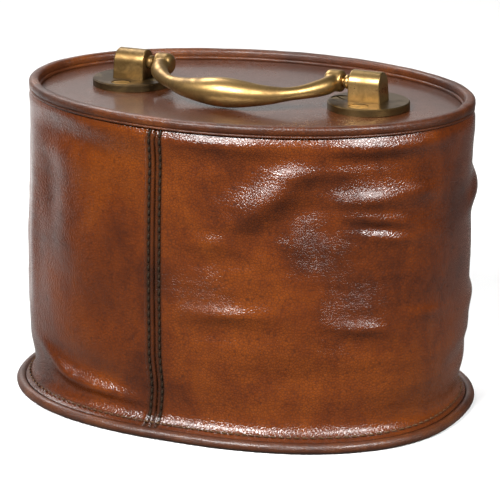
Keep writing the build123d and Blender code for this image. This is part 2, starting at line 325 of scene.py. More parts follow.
def lay(piece, places_mm):
    """Moves every vertex to its place, given in millimetres."""
    piece.data.vertices.foreach_set("co", (places_mm * MM).ravel())
    piece.data.update()


def finish_with(piece, kind, **settings):
    """Adds a modifier and applies it."""
    take(piece)
    modifier = piece.modifiers.new(kind.title(), kind)
    for name, value in settings.items():
        setattr(modifier, name, value)
    bpy.ops.object.modifier_apply(modifier=modifier.name)


def smooth(piece, degrees=50):
    take(piece)
    bpy.ops.object.shade_smooth_by_angle(angle=math.radians(degrees))


def mask(piece, name, values):
    """Keeps a value per vertex that the finish reads, such as how dark a groove is."""
    layer = piece.data.attributes.new(name, "FLOAT", "POINT")
    layer.data.foreach_set("value", np.asarray(values, dtype=np.float32))


def settle(piece, body, slot, *nodes):
    """The piece rides on its body and stands for its nodes, which are hidden; slot is not used."""
    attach(piece, body)
    if nodes:
        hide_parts(*nodes)


def join(pieces, name):
    deselect()
    for piece in pieces:
        piece.select_set(True)
    bpy.context.view_layer.objects.active = pieces[0]
    bpy.ops.object.join()
    return named(name)


def ring(name, half_length, half_depth, power, height, half_width, half_height, square, fit=None):
    """A closed roll laid round an outline; half_length and half_depth are its middle line."""
    deselect()
    bpy.ops.mesh.primitive_torus_add(
        major_segments=420, minor_segments=20, major_radius=1.0, minor_radius=0.25
    )
    piece = named(name)
    places = corners(piece)
    turn = np.arctan2(places[:, 1], places[:, 0])
    out = (np.hypot(places[:, 0], places[:, 1]) - 1.0) / 0.25
    up = places[:, 2] / 0.25
    angle = np.arctan2(up, out)
    reach = (np.abs(np.cos(angle)) ** square + np.abs(np.sin(angle)) ** square) ** (-1 / square)
    out = half_width * reach * np.cos(angle)
    up = half_height * reach * np.sin(angle)
    if fit:
        out, up = fit(turn, out, up)
    x, y = outline_point(turn, half_length, half_depth, power)
    nx, ny = outline_normal(turn, half_length, half_depth, power)
    lay(piece, np.stack([x + nx * out + lean(height), y + ny * out, height + up], axis=-1))
    return piece


def sheet_of_leather(name, half_length, half_depth, power, top, thickness, swell):
    """A flat oval of leather with a slightly uneven face."""
    deselect()
    bpy.ops.mesh.primitive_grid_add(x_subdivisions=96, y_subdivisions=72, size=2.0)
    piece = named(name)
    places = corners(piece)
    across, deep = places[:, 0], places[:, 1]
    disc_x = across * np.sqrt(1 - deep**2 / 2)
    disc_y = deep * np.sqrt(1 - across**2 / 2)
    turn = np.arctan2(disc_y, disc_x)
    share = np.hypot(disc_x, disc_y)
    x, y = outline_point(turn, half_length, half_depth, power)
    x, y = x * share, y * share
    wave = [noise.noise(Vector((a / 24, b / 24, 3.7))) for a, b in zip(x, y)]
    z = top + swell * (np.array(wave) - 0.35)
    lay(piece, np.stack([x + lean(top), y, z], axis=-1))
    # The edge mask marks the sheet's outer band; the top panel's finish uses it to paint shade where the
    # panel meets the rim's roll.
    mask(piece, "edge", np.clip((share - 0.86) / 0.14, 0, 1))
    finish_with(piece, "SOLIDIFY", thickness=thickness * MM, offset=-1)
    return piece


# ---------------------------------------------------------------- leather wall

WALL_COLUMNS = 440
WALL_ROWS = 104
WADDING_GAP = 1.5  # from the outside of the wall to the felt behind it


def drum(name, columns, rows, low, high, inset):
    """An open tube that follows the wall; also gives each vertex's place along and up it."""
    deselect()
    bpy.ops.mesh.primitive_cylinder_add(
        vertices=columns, radius=1.0, depth=1.0, end_fill_type="NOTHING"
    )
    piece = named(name)
    bpy.ops.object.mode_set(mode="EDIT")
    shell = bmesh.from_edit_mesh(piece.data)
    for edge in shell.edges:
        first, second = edge.verts
        edge.select_set(abs(first.co.z - second.co.z) > 0.5)
    bmesh.update_edit_mesh(piece.data)
    bpy.ops.mesh.subdivide(number_cuts=rows - 1)
    bpy.ops.object.mode_set(mode="OBJECT")
    places = corners(piece)
    share = np.mod(np.arctan2(places[:, 1], places[:, 0]) / (2 * math.pi), 1.0)
    along = GIRTH * (share - 0.8 * np.sin(2 * math.pi * share) / (2 * math.pi))
    climb = np.clip(places[:, 2] + 0.5, 0, 1) ** 1.35
    height = low + (high - low) * climb
    lay(piece, wall_place(along, height, inset))
    return piece, along, height


wall, along, height = drum(
    "wall_leather_drum", WALL_COLUMNS, WALL_ROWS, HEM_HEIGHT, RIM_BASE + 0.2, 0.0
)
off_seam = np.abs(distance_from(along) - seam_shift(height))
row_shade = np.exp(-(((off_seam - SEAM_ROW) / 1.1) ** 2))
strip_shade = np.exp(-((off_seam / 3.8) ** 6))
mask(wall, "groove", 0.5 * np.exp(-((off_seam / 0.4) ** 2)) + 0.65 * row_shade + 0.42 * strip_shade)
# Painted shade: the foot mask darkens the bottom of the wall where it tucks behind the welt, and a thin
# line along the foot's stitches where they sink in.
ditch_shade = np.exp(-(((height - HEM_HEIGHT - 1.5) / 0.5) ** 2))
mask(wall, "foot", 0.8 * np.exp(-np.maximum(height - HEM_HEIGHT, 0) / 0.8) + 0.9 * ditch_shade)
mask(wall, "crinkle", crinkle_patch(along, height))
finish_with(wall, "SOLIDIFY", thickness=WALL_THICKNESS * MM, offset=-1)
smooth(wall, 70)

wadding, along, height = drum("wall_wadding", 180, 48, board_high[2] + 0.3, wadding_high[2], WADDING_GAP)
finish_with(wadding, "SOLIDIFY", thickness=1.8 * MM, offset=-1)
smooth(wadding, 70)
settle(wadding, "root", "felt", "side_wadding")

# ---------------------------------------------------------------- thread

def stitch(length, thickness):
    """One pulled-down stitch, lying along X at the origin."""
    deselect()
    bpy.ops.mesh.primitive_uv_sphere_add(segments=8, ring_count=6, radius=1.0)
    piece = named("stitch")
    places = corners(piece)
    bow = 0.25 * thickness * (1 - places[:, 0] ** 2)
    x = np.sign(places[:, 0]) * np.abs(places[:, 0]) ** 0.75 * length / 2
    y = places[:, 1] * thickness / 2
    z = places[:, 2] * thickness / 2 + bow
    lay(piece, np.stack([x, y, z], axis=-1))
    return piece


def sew(name, spots, length, thickness):
    """Copies one stitch to every spot: place, direction and outward, in millimetres."""
    first = stitch(length, thickness)
    copies = []
    for place, direction, outward in spots:
        copy = first.copy()
        copy.data = first.data.copy()
        bpy.context.collection.objects.link(copy)
        along_x = Vector(direction).normalized()
        up = Vector(outward)
        up = (up - up.dot(along_x) * along_x).normalized()
        across = up.cross(along_x)
        turn = Matrix((along_x, across, up)).transposed().to_4x4()
        copy.data.transform(Matrix.Translation(Vector(place) * MM) @ turn)
        copies.append(copy)
    bpy.data.objects.remove(first)
    row = join(copies, name)
    smooth(row, 80)
    return row


def wall_frame(along, height):
    """Place, upward direction and outward direction on the wall."""
    step = 0.4
    at = wall_place(np.array([along, along + step, along]), np.array([height, height, height + step]))
    sideways, upwards = at[1] - at[0], at[2] - at[0]
    outward = np.cross(sideways, upwards)
    return at[0], sideways, upwards, outward / np.linalg.norm(outward)


for side, name in ((-1, "seam_thread_left"), (1, "seam_thread_right")):
    spots = []
    for height in np.arange(8.5, RIM_BASE - 1, STITCH_PITCH):
        middle = side * SEAM_ROW + seam_shift(height)
        place, sideways, upwards, outward = wall_frame(middle, height)
        slant = upwards / np.linalg.norm(upwards) + 0.10 * sideways / np.linalg.norm(sideways)
        spots.append((place + outward * 0.12, slant, outward))
    settle(sew(name, spots, 2.8, 0.95), "root", "thread")

spots = []
FOOT_STITCH_PITCH = 3.3
FOOT_SEAM_RADIUS = 86  # mean radius of the foot's row of stitches
FOOT_SEAM_INSET = 1.7  # from the edge of the hem
FOOT_SEAM_HEIGHT = HEM_HEIGHT + 1.55
stitch_count = round(2 * math.pi * FOOT_SEAM_RADIUS / FOOT_STITCH_PITCH)
hem = (HEM_LENGTH - FOOT_SEAM_INSET, HEM_DEPTH - FOOT_SEAM_INSET, FOOT_POWER)
for turn in np.linspace(0, 2 * math.pi, stitch_count, endpoint=False):
    x, y = outline_point(turn, *hem)
    nx, ny = outline_normal(turn, *hem)
    direction = (-ny + 0.35 * nx, nx + 0.35 * ny, 0.1)
    place = (x + lean(HEM_HEIGHT), y, FOOT_SEAM_HEIGHT)
    spots.append((place, direction, (nx * 0.5, ny * 0.5, 1)))
settle(sew("foot_thread", spots, 2.6, 0.8), "root", "thread")

# ---------------------------------------------------------------- rim and foot

LAP_TURN = 0.02  # where the rim's strip laps over itself, at the +X end
RIM_SKIN = 0.15  # kept back all round for the wobble of the rim's roll
RIM_MIDDLE_HEIGHT = RIM_BASE + RIM_HEIGHT / 2 - RIM_SKIN
PANEL_INSET = 2.2  # from the middle line of the roll to the panel's edge
CORD_RADIUS = {"rim": 0.95, "foot": 1.2}


def rim_shape(turn, out, up):
    """The rim's strip laps over itself at one end and is never quite even."""
    past = turn - LAP_TURN
    lap = 0.28 / (1 + np.exp(-past / 0.002)) * np.exp(-np.maximum(past, 0) / 0.14)
    wobble = 0.07 * np.sin(turn * 17) + 0.05 * np.sin(turn * 31 + 1)
    grow = 1 + (lap + wobble * 0.6) / 2.4
    return out * grow, up * grow + 0.08 * np.sin(turn * 5 + 0.4)


rim_middle_length = RIM_LENGTH - RIM_WIDTH / 2
rim_middle_depth = RIM_DEPTH - RIM_WIDTH / 2
rim_roll = ring(
    "rim_roll", rim_middle_length, rim_middle_depth, 2.0, RIM_MIDDLE_HEIGHT,
    RIM_WIDTH / 2 - RIM_SKIN, RIM_HEIGHT / 2 - RIM_SKIN, 3.0, rim_shape,
)
rim_lip = ring(
    "rim_lip", rim_middle_length + 1.45, rim_middle_depth + 1.45, 2.0, RIM_BASE - 0.1, 0.75, 0.55, 2.6
)
rim_ledge = ring(
    "rim_ledge", rim_middle_length - PANEL_INSET, rim_middle_depth - PANEL_INSET, 2.0,
    PANEL_TOP + 0.55, 0.9, 0.75, 2.8,
)
rim = join([rim_roll, rim_lip, rim_ledge], "rim_roll")
smooth(rim, 80)
settle(rim, "root", "rim_leather", "rim_binding")


def welt_shape(turn, out, up):
    """The foot's roll is squashed flat where the weight sits on it."""
    low = np.clip(-up / WELT_RADIUS - 0.75, 0, 1)
    wobble = 1 + 0.03 * np.sin(turn * 13) + 0.02 * np.sin(turn * 29 + 2)
    return out * wobble * 0.97, up * 0.98 + low * 0.5


welt = ring(
    "foot_welt", FOOT_LENGTH - WELT_RADIUS, FOOT_DEPTH - WELT_RADIUS, FOOT_POWER, WELT_RADIUS,
    WELT_RADIUS, WELT_RADIUS, 2.0, welt_shape,
)
smooth(welt, 80)
settle(welt, "root", "foot_leather", "base_welt")

rim_core = ring(
    "rim_core", rim_middle_length, rim_middle_depth, 2.0, RIM_MIDDLE_HEIGHT,
    CORD_RADIUS["rim"], CORD_RADIUS["rim"], 2.0,
)
smooth(rim_core, 80)
settle(rim_core, "root", "cotton_cord", "rim_cord")
foot_core = ring(
    "foot_core", FOOT_LENGTH - WELT_RADIUS, FOOT_DEPTH - WELT_RADIUS, FOOT_POWER, WELT_RADIUS,
    CORD_RADIUS["foot"], CORD_RADIUS["foot"], 2.0,
)
smooth(foot_core, 80)
settle(foot_core, "root", "cotton_cord", "base_cord")

# ---------------------------------------------------------------- panel and foot cover

panel = sheet_of_leather(
    "top_panel", rim_middle_length - PANEL_INSET, rim_middle_depth - PANEL_INSET, 2.0,
    PANEL_TOP, PANEL_THICKNESS, 0.22,
)
smooth(panel, 60)
settle(panel, "root", "panel_leather", "top_cover")

COVER_INSET = 5.2  # from the outside of the welt to the edge of the leather underneath
COVER_UNEVEN = 0.2
foot_cover = sheet_of_leather(
    "foot_cover", FOOT_LENGTH - COVER_INSET, FOOT_DEPTH - COVER_INSET, FOOT_POWER,
    cover_high[2], cover_high[2] - COVER_UNEVEN, COVER_UNEVEN,
)
smooth(foot_cover, 60)
settle(foot_cover, "root", "foot_leather", "base_cover")
settle(wall, "root", "wall_leather", "side_cover")

foot_board = sheet_of_leather(
    "foot_board", board_high[0] - 2.6, board_high[1] - 1.6, 2.2,
    board_high[2], board_high[2] - board_low[2], 0.0,
)
smooth(foot_board, 40)
settle(foot_board, "root", "plywood", "base_board")

# ---------------------------------------------------------------- handle

deselect()
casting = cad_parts["handle"].copy()
casting.data = casting.data.copy()
casting.parent = None
for key in [key for key in casting.keys() if key.startswith("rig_")]:
    del casting[key]
bpy.context.collection.objects.link(casting)
take(casting)
handle = named("handle_casting")
bpy.ops.object.mode_set(mode="EDIT")
bpy.ops.mesh.select_all(action="SELECT")
bpy.ops.mesh.remove_doubles(threshold=1e-5)
bpy.ops.object.mode_set(mode="OBJECT")
finish_with(handle, "REMESH", mode="VOXEL", voxel_size=0.42 * MM, use_smooth_shade=True)
finish_with(handle, "SMOOTH", factor=0.5, iterations=6)
places = corners(handle) / MM
from_axis = np.hypot(places[:, 1], places[:, 2] - PIVOT_Z)
boss_end = np.clip((BOSS_ROUND_FROM - np.abs(places[:, 0])) / 2.6, 0, 1)
on_boss = (from_axis < 5.2) & (places[:, 1] > -4.4)
shrink = np.where(on_boss, np.sqrt(1 - (0.72 * boss_end) ** 2), 1.0)
places[:, 1] *= shrink
places[:, 2] = PIVOT_Z + (places[:, 2] - PIVOT_Z) * shrink
lay(handle, places)
finish_with(handle, "SMOOTH", factor=0.5, iterations=6)
settle(handle, "handle", "antique_brass", "handle")

# ---------------------------------------------------------------- shader groups

def put(tree, kind, **settings):
    """Adds a shader node and fills the named settings and inputs."""
    node = tree.nodes.new(kind)
    for name, value in settings.items():
        if hasattr(node, name):
            setattr(node, name, value)
        else:
            node.inputs[name.replace("_", " ")].default_value = value
    return node


def group(name, inputs, outputs):
    """A new shader node group with its sockets made."""
    tree = bpy.data.node_groups.new(name, "ShaderNodeTree")
    for socket, value in inputs.items():
        made = tree.interface.new_socket(socket, in_out="INPUT", socket_type="NodeSocketFloat")
        made.default_value = value
    for socket in outputs:
        tree.interface.new_socket(socket, in_out="OUTPUT", socket_type="NodeSocketFloat")
    start = tree.nodes.new("NodeGroupInput")
    end = tree.nodes.new("NodeGroupOutput")
    return tree, start, end


def maths(tree, operation, first, second=None, clamp=False):
    """One arithmetic step; each side is a socket or a number."""
    node = tree.nodes.new("ShaderNodeMath")
    node.operation = operation
    node.use_clamp = clamp
    for place, side in enumerate((first, second)):
        if side is None:
            continue
        if isinstance(side, (int, float)):
            node.inputs[place].default_value = side
        else:
            tree.links.new(side, node.inputs[place])
    return node.outputs[0]


def spread(tree, value, low, high, to_low=0.0, to_high=1.0):
    """Maps a value from low..high to to_low..to_high, clamped."""
    node = put(tree, "ShaderNodeMapRange")
    node.clamp = True
    tree.links.new(value, node.inputs["Value"])
    node.inputs["From Min"].default_value = low
    node.inputs["From Max"].default_value = high
    node.inputs["To Min"].default_value = to_low
    node.inputs["To Max"].default_value = to_high
    return node.outputs["Result"]


def place_vector(tree, stretch=(1, 1, 1), shift=(0, 0, 0), turn=(0, 0, 0)):
    """Object coordinates in metres, stretched and turned for a pattern."""
    coords = tree.nodes.new("ShaderNodeTexCoord")
    mapping = tree.nodes.new("ShaderNodeMapping")
    mapping.inputs["Scale"].default_value = stretch
    mapping.inputs["Location"].default_value = shift
    mapping.inputs["Rotation"].default_value = turn
    tree.links.new(coords.outputs["Object"], mapping.inputs["Vector"])
    return mapping.outputs["Vector"]


def noise_value(tree, vector, scale, detail=3.0, roughness=0.55, distortion=0.0):
    node = tree.nodes.new("ShaderNodeTexNoise")
    tree.links.new(vector, node.inputs["Vector"])
    if isinstance(scale, (int, float)):
        node.inputs["Scale"].default_value = scale
    else:
        tree.links.new(scale, node.inputs["Scale"])
    node.inputs["Detail"].default_value = detail
    node.inputs["Roughness"].default_value = roughness
    node.inputs["Distortion"].default_value = distortion
    return node.outputs["Fac"]


def make_grain():
    """Leather grain: pebbles with fine pores, and broken crossways creases."""
    tree, start, end = group(
        "leather grain",
        {"Pebbles": 1.0, "Creases": 1.0, "Pebble Scale": 820.0},
        ["Height", "Creased", "Pores"],
    )
    here = place_vector(tree)
    warp = tree.nodes.new("ShaderNodeTexNoise")
    warp.inputs["Scale"].default_value = 180
    warp.inputs["Detail"].default_value = 2
    tree.links.new(here, warp.inputs["Vector"])
    bend = put(tree, "ShaderNodeVectorMath", operation="MULTIPLY_ADD")
    tree.links.new(warp.outputs["Color"], bend.inputs[0])
    bend.inputs[1].default_value = (0.0012, 0.0012, 0.0012)
    tree.links.new(here, bend.inputs[2])
    cells = put(tree, "ShaderNodeTexVoronoi", feature="DISTANCE_TO_EDGE")
    tree.links.new(bend.outputs["Vector"], cells.inputs["Vector"])
    tree.links.new(start.outputs["Pebble Scale"], cells.inputs["Scale"])
    pebble = spread(tree, cells.outputs["Distance"], 0.0, 0.28)
    fine = noise_value(tree, here, 2600, 2)
    rough_pebble = maths(tree, "ADD", pebble, maths(tree, "MULTIPLY", fine, 0.5))
    pebble_part = maths(tree, "MULTIPLY", rough_pebble, start.outputs["Pebbles"])
    long_way = place_vector(tree, stretch=(1.0, 1.0, 3.6))
    crease = noise_value(tree, long_way, 270, 5, 0.62, 0.8)
    ridge = maths(tree, "ABSOLUTE", maths(tree, "SUBTRACT", crease, 0.5))
    sharp = spread(tree, ridge, 0.0, 0.07, 1.0, 0.0)
    where = spread(tree, noise_value(tree, here, 26, 2), 0.42, 0.62)
    creased = maths(tree, "MULTIPLY", sharp, maths(tree, "MULTIPLY", where, start.outputs["Creases"]))
    total = maths(tree, "SUBTRACT", pebble_part, maths(tree, "MULTIPLY", creased, 1.6))
    tree.links.new(total, end.inputs["Height"])
    tree.links.new(creased, end.inputs["Creased"])
    pores = spread(tree, cells.outputs["Distance"], 0.0, 0.10, 1.0, 0.0)
    tree.links.new(pores, end.inputs["Pores"])
    return tree


def make_dye():
    """Hand-rubbed dye: broad patches, drips and small flecks, from 0 dark to 1 light."""
    tree, start, end = group(
        "mottled dye", {"Patch Scale": 14.0, "Contrast": 1.0}, ["Tone", "Flecks"]
    )
    here = place_vector(tree)
    broad = noise_value(tree, here, start.outputs["Patch Scale"], 4, 0.55, 0.4)
    middle = noise_value(tree, place_vector(tree, (1, 1, 0.55), (0.3, 0.1, 0)), 62, 5, 0.6, 0.8)
    small = noise_value(tree, here, 420, 3, 0.6)
    blend = maths(tree, "ADD", maths(tree, "MULTIPLY", broad, 0.55), maths(tree, "MULTIPLY", middle, 0.32))
    blend = maths(tree, "ADD", blend, maths(tree, "MULTIPLY", small, 0.13))
    centred = maths(tree, "MULTIPLY", maths(tree, "SUBTRACT", blend, 0.5), start.outputs["Contrast"])
    tone = maths(tree, "MULTIPLY_ADD", centred, 3.2)
    tone.node.inputs[2].default_value = 0.5
    tree.links.new(maths(tree, "ADD", tone, 0.0, clamp=True), end.inputs["Tone"])
    flecks = spread(tree, noise_value(tree, here, 900, 2, 0.5), 0.63, 0.72)
    tree.links.new(flecks, end.inputs["Flecks"])
    return tree


def make_tarnish():
    """Old brass: rubbed bright, with brown film in patches, specks and fine scratches."""
    tree, start, end = group(
        "brass tarnish", {"Film Scale": 90.0, "Film": 1.0}, ["Film Mask", "Specks", "Scratches"]
    )
    here = place_vector(tree)
    film = noise_value(tree, here, start.outputs["Film Scale"], 5, 0.62, 0.5)
    film = maths(tree, "MULTIPLY", spread(tree, film, 0.36, 0.70), start.outputs["Film"])
    tree.links.new(film, end.inputs["Film Mask"])
    specks = spread(tree, noise_value(tree, here, 1500, 3), 0.62, 0.75)
    tree.links.new(specks, end.inputs["Specks"])
    scratches = noise_value(tree, place_vector(tree, (0.12, 1, 1), (0, 0, 0), (0, 0.2, 0.5)), 2400, 2)
    tree.links.new(scratches, end.inputs["Scratches"])
    return tree


def make_weave():
    """Over-and-under threads along two directions, for cloth, tape and thread."""
    tree, start, end = group("weave", {"Threads": 900.0}, ["Height", "Fuzz"])
    here = place_vector(tree)
    parts = tree.nodes.new("ShaderNodeSeparateXYZ")
    tree.links.new(here, parts.inputs[0])
    warp = maths(tree, "SINE", maths(tree, "MULTIPLY", parts.outputs["X"], start.outputs["Threads"]))
    up_and_in = maths(tree, "ADD", parts.outputs["Y"], parts.outputs["Z"])
    weft = maths(tree, "SINE", maths(tree, "MULTIPLY", up_and_in, start.outputs["Threads"]))
    tree.links.new(maths(tree, "MULTIPLY", warp, weft), end.inputs["Height"])
    tree.links.new(noise_value(tree, here, 1400, 4), end.inputs["Fuzz"])
    return tree


GRAIN = make_grain()
DYE = make_dye()
TARNISH = make_tarnish()
WEAVE = make_weave()


def place_group(tree, shared, **values):
    node = tree.nodes.new("ShaderNodeGroup")
    node.node_tree = shared
    for name, value in values.items():
        node.inputs[name.replace("_", " ")].default_value = value
    return node


def colour_mix(tree, share, first, second):
    """Mixes two colours; each is a socket or an RGB triple."""
    node = put(tree, "ShaderNodeMix", data_type="RGBA")
    slots = {"share": node.inputs[0], "first": node.inputs[6], "second": node.inputs[7]}
    for name, value in (("share", share), ("first", first), ("second", second)):
        if isinstance(value, (int, float)):
            slots[name].default_value = value
        elif isinstance(value, tuple):
            slots[name].default_value = (*value, 1)
        else:
            tree.links.new(value, slots[name])
    return node.outputs[2]


def read_mask(tree, name):
    node = tree.nodes.new("ShaderNodeAttribute")
    node.attribute_name = name
    return node.outputs["Fac"]


def bump(tree, shader, height, distance, strength=1.0):
    node = tree.nodes.new("ShaderNodeBump")
    node.inputs["Strength"].default_value = strength
    node.inputs["Distance"].default_value = distance * MM
    tree.links.new(height, node.inputs["Height"])
    tree.links.new(node.outputs["Normal"], shader.inputs["Normal"])
    return node


def finish_named(name):
    """A new material with an empty Principled surface."""
    material = bpy.data.materials.new(name)
    material.use_nodes = True
    tree = material.node_tree
    return material, tree, tree.nodes["Principled BSDF"]


# ---------------------------------------------------------------- finishes

def leather(name, dark, middle, light, scale, contrast, rough, coat, crease, pebble=1.0,
            masks=(), shine=0.5, crease_mask=None, grain_depth=0.06):
    """Vegetable-tanned leather, rubbed with dye and polished with wax."""
    material, tree, shader = finish_named(name)
    grain = place_group(tree, GRAIN, Pebbles=pebble, Creases=crease)
    if crease_mask:
        patch = read_mask(tree, crease_mask)
        local_crease = spread(tree, patch, 0.0, 1.0, 0.2 * crease, 1.1 * crease)
        tree.links.new(local_crease, grain.inputs["Creases"])
    dye = place_group(tree, DYE, Patch_Scale=scale, Contrast=contrast)
    tone = dye.outputs["Tone"]
    base = colour_mix(tree, spread(tree, tone, 0.0, 0.5), dark, middle)
    base = colour_mix(tree, spread(tree, tone, 0.5, 1.0), base, light)
    dim = tuple(0.45 * value for value in dark)
    base = colour_mix(tree, maths(tree, "MULTIPLY", grain.outputs["Pores"], 0.65), base, dim)
    base = colour_mix(tree, maths(tree, "MULTIPLY", grain.outputs["Creased"], 0.35), base, dim)
    base = colour_mix(tree, maths(tree, "MULTIPLY", dye.outputs["Flecks"], 0.10), base, light)
    for mask_name, amount, shade in masks:
        share = maths(tree, "MULTIPLY", read_mask(tree, mask_name), amount, clamp=True)
        base = colour_mix(tree, share, base, shade)
    shader.inputs["Specular IOR Level"].default_value = shine
    tree.links.new(base, shader.inputs["Base Color"])
    gloss = maths(tree, "ADD", spread(tree, tone, 0.2, 0.9, rough[1], rough[0]),
                  maths(tree, "MULTIPLY", grain.outputs["Pores"], 0.08))
    tree.links.new(gloss, shader.inputs["Roughness"])
    shader.inputs["Coat Weight"].default_value = coat
    shader.inputs["Coat Roughness"].default_value = 0.13
    bump(tree, shader, grain.outputs["Height"], grain_depth, 1.0)
    return material


DARK_BROWN = (0.012, 0.006, 0.003)
wall_finish = leather(
    "wall leather", (0.036, 0.0075, 0.0022), (0.094, 0.0188, 0.0024), (0.146, 0.0325, 0.0032),
    scale=17, contrast=1.15, rough=(0.22, 0.24), coat=0.10, crease=0.55,
    crease_mask="crinkle", grain_depth=0.072,
    # the foot mask here paints shade at the hem and along the foot's stitches
    masks=(("groove", 0.9, DARK_BROWN), ("foot", 0.75, (0.03, 0.010, 0.005))),
)
panel_finish = leather(
    "panel leather", (0.030, 0.008, 0.0030), (0.056, 0.015, 0.0045), (0.085, 0.025, 0.007),
    scale=18, contrast=0.8, crease=0.3, pebble=0.6, rough=(0.22, 0.34), coat=0.4,
    # painted shade towards the rim's roll
    masks=(("edge", 0.5, (0.03, 0.011, 0.006)),),
)
rim_finish = leather(
    "rim leather", (0.030, 0.0078, 0.0026), (0.066, 0.0165, 0.0040), (0.125, 0.036, 0.009),
    scale=34, contrast=1.2, crease=0.8, pebble=1.2, rough=(0.26, 0.40), coat=0.08, shine=0.36,
)
foot_finish = leather(
    "foot leather", (0.030, 0.008, 0.0030), (0.064, 0.017, 0.0050), (0.115, 0.036, 0.011),
    scale=30, contrast=1.1, crease=0.8, pebble=1.2, rough=(0.28, 0.44), coat=0.12,
)


def brass(name, bright, film_colour, film, rough, paint_shade=True):
    """Cast brass left to brown in patches and rubbed bright between them; optionally with painted shade,
    darker at the left end and in the corner at the foot of each post.
    """
    material, tree, shader = finish_named(name)
    tarnish = place_group(tree, TARNISH, Film=film)
    share = tarnish.outputs["Film Mask"]
    if paint_shade:
        parts = tree.nodes.new("ShaderNodeSeparateXYZ")
        tree.links.new(place_vector(tree), parts.inputs[0])
        # Painted shade: the brass at the left end is coloured darker, duller and less metallic, as if in
        # shadow.
        left_end_shade = spread(tree, parts.outputs["X"], -0.050, -0.030, 0.6, 0.0)
        share = maths(tree, "ADD", share, left_end_shade, clamp=True)
        # Painted shade in the corner where each post stands on its rose, reaching onto the rose's face
        # there.
        corner = spread(tree, parts.outputs["Z"], (ROSE_TOP + 0.2) * MM, (ROSE_TOP + 2.2) * MM, 0.75, 0.0)
        above = spread(tree, parts.outputs["Z"], (ROSE_TOP - 0.1) * MM, (ROSE_TOP + 0.1) * MM)
        share = maths(tree, "MAXIMUM", share, maths(tree, "MULTIPLY", corner, above))
    base = colour_mix(tree, share, bright, film_colour)
    specks = maths(tree, "MULTIPLY", tarnish.outputs["Specks"], 0.5)
    base = colour_mix(tree, specks, base, tuple(0.4 * value for value in film_colour))
    tree.links.new(base, shader.inputs["Base Color"])
    tree.links.new(spread(tree, share, 0.0, 1.0, 1.0, 0.86), shader.inputs["Metallic"])
    gloss = maths(tree, "ADD", spread(tree, share, 0.0, 1.0, rough, rough + 0.2),
                  maths(tree, "MULTIPLY", tarnish.outputs["Scratches"], 0.08))
    tree.links.new(gloss, shader.inputs["Roughness"])
    rough_height = maths(tree, "ADD", maths(tree, "MULTIPLY", tarnish.outputs["Specks"], -0.6),
                         maths(tree, "MULTIPLY", tarnish.outputs["Scratches"], 0.5))
    bump(tree, shader, rough_height, 0.03, 0.8)
    return material


antique_brass = brass("antique brass", (0.56, 0.37, 0.145), (0.13, 0.075, 0.024), 0.9, 0.20)
handle_brass = brass("handle brass", (0.44, 0.275, 0.10), (0.10, 0.058, 0.020), 1.0, 0.28, paint_shade=False)
# The roses take a much darker copy of the posts' brass: painted shade on the flat roses, with a little
# more brown film.
shaded_rose_brass = brass("rose brass painted darker", (0.20, 0.125, 0.048), (0.05, 0.030, 0.012), 1.0, 0.24)
dark_brass = brass("dark brass", (0.38, 0.26, 0.10), (0.10, 0.065, 0.028), 1.0, 0.34, paint_shade=False)


def cloth(name, colour, threads, depth, rough):
    """Woven or felted stuff, matt and a little hairy."""
    material, tree, shader = finish_named(name)
    weave = place_group(tree, WEAVE, Threads=threads)
    pale = tuple(min(1.0, 1.35 * value) for value in colour)
    shade = tuple(0.55 * value for value in colour)
    base = colour_mix(tree, spread(tree, weave.outputs["Fuzz"], 0.3, 0.7), shade, pale)
    base = colour_mix(tree, spread(tree, weave.outputs["Height"], -1.0, 0.2, 0.5, 0.0), base, shade)
    tree.links.new(base, shader.inputs["Base Color"])
    matt = spread(tree, weave.outputs["Fuzz"], 0.3, 0.7, rough, rough - 0.12)
    tree.links.new(matt, shader.inputs["Roughness"])
    hairs = maths(tree, "MULTIPLY", weave.outputs["Fuzz"], 0.8)
    total = maths(tree, "ADD", weave.outputs["Height"], hairs)
    shader.inputs["Specular IOR Level"].default_value = 0.18
    bump(tree, shader, total, depth, 0.8)
    return material


seam_thread_finish = cloth("seam thread", (0.020, 0.011, 0.005), 9000, 0.08, 0.9)
foot_thread_finish = cloth("foot thread", (0.085, 0.042, 0.018), 9000, 0.08, 0.85)
cotton_finish = cloth("cotton cord", (0.62, 0.55, 0.42), 5200, 0.15, 0.9)
canvas_finish = cloth("canvas", (0.50, 0.43, 0.30), 4200, 0.18, 0.92)
felt_finish = cloth("felt", (0.22, 0.20, 0.18), 1300, 0.10, 0.95)


def make_plywood():
    """Birch ply: long streaky grain on the faces and layers down the edge."""
    material, tree, shader = finish_named("plywood")
    streaks = noise_value(tree, place_vector(tree, (0.06, 1, 1)), 260, 5, 0.6, 0.5)
    parts = tree.nodes.new("ShaderNodeSeparateXYZ")
    tree.links.new(place_vector(tree), parts.inputs[0])
    layers = maths(tree, "SINE", maths(tree, "MULTIPLY", parts.outputs["Z"], 2 * math.pi / (3.0 * MM)))
    base = colour_mix(tree, streaks, (0.30, 0.19, 0.10), (0.55, 0.40, 0.24))
    base = colour_mix(tree, spread(tree, layers, 0.2, 0.6, 0.0, 0.35), base, (0.22, 0.13, 0.06))
    tree.links.new(base, shader.inputs["Base Color"])
    tree.links.new(spread(tree, streaks, 0.3, 0.7, 0.75, 0.6), shader.inputs["Roughness"])
    bump(tree, shader, streaks, 0.08, 0.7)
    return material


